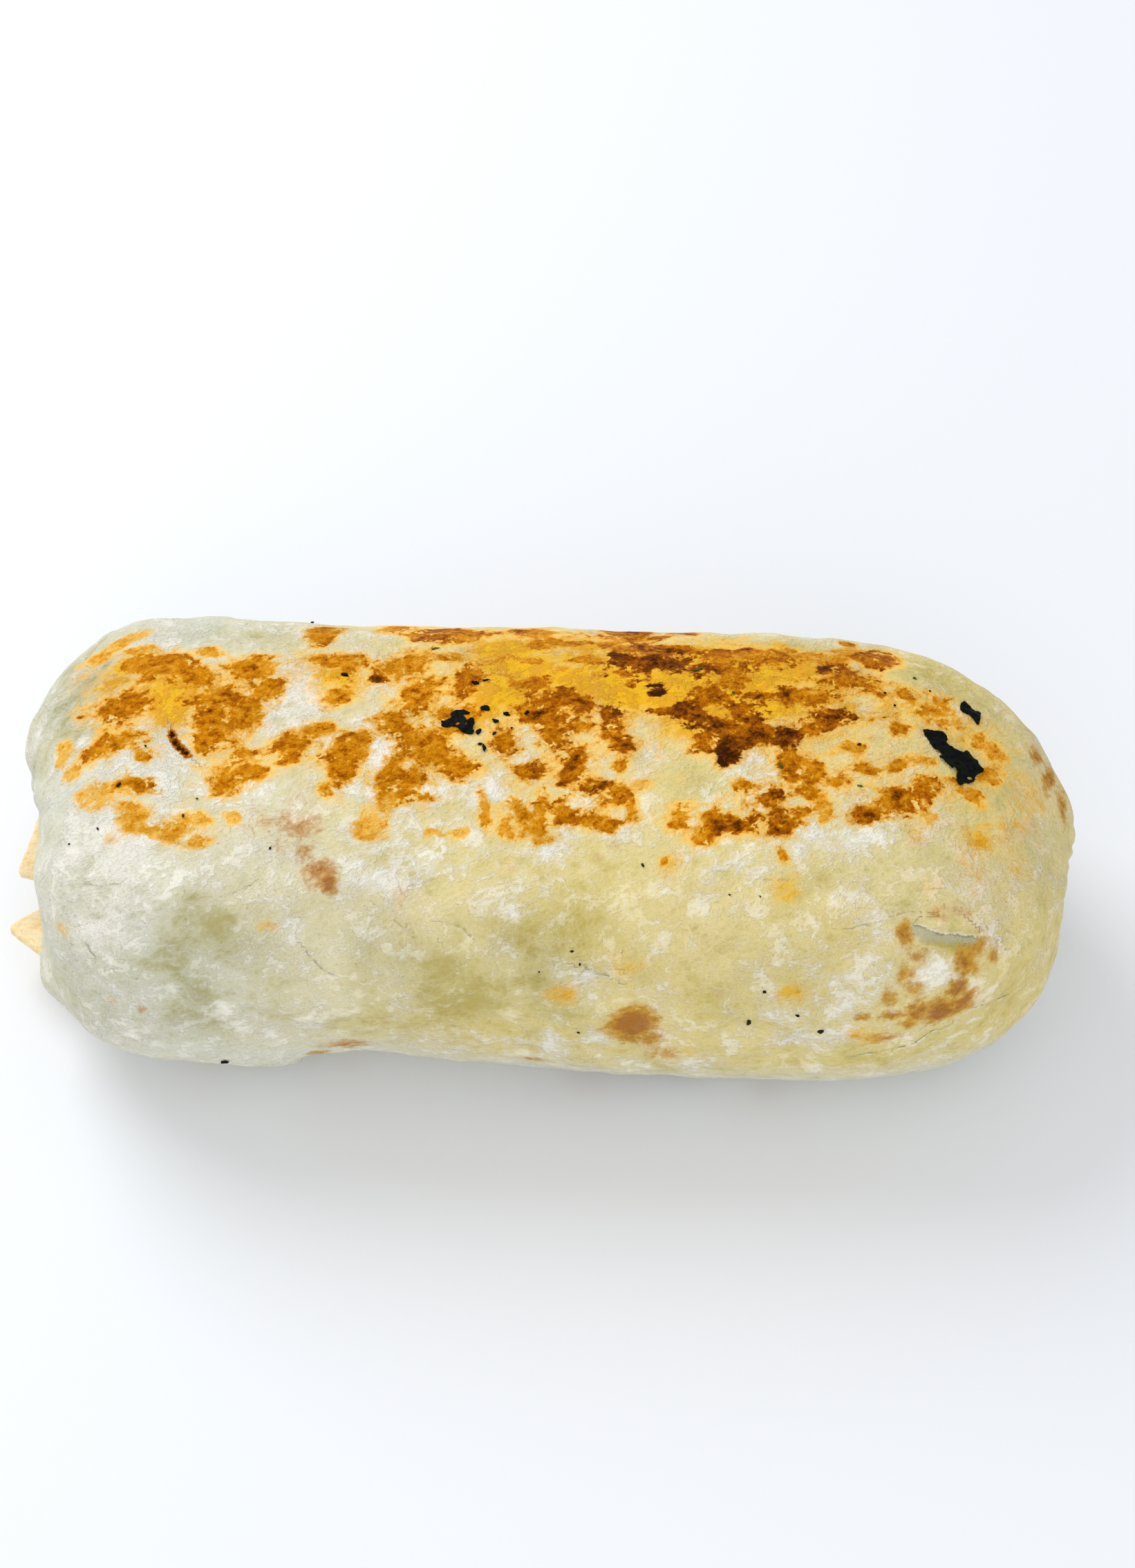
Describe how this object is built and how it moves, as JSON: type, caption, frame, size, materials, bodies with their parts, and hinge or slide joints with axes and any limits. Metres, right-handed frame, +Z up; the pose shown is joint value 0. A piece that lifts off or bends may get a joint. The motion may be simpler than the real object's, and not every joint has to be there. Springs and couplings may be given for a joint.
{
  "type": "burrito",
  "caption": "Whole uncut burrito with a griddled top, tucked ends, cheese corners showing at one end and a charred leaf on top; rests flat.",
  "frame": {"origin": "middle of the bottom of the box round everything, on the surface that the burrito rests on", "axes": "+X along the roll, away from the end where the cheese shows; -Y is the near side; +Z up, out of the griddled top"},
  "size_m": [0.2022, 0.086, 0.0591],
  "materials": {
    "tortilla": "matt, floury, oily where griddled",
    "cheese": "smooth, slightly waxy",
    "charred_leaf": "matt, burnt"
  },
  "bodies": {
    "root": {"tortilla_wrap": "tortilla", "cheese_slice_lower": "cheese", "cheese_slice_upper": "cheese", "charred_leaf": "charred_leaf"}
  },
  "joints": []
}
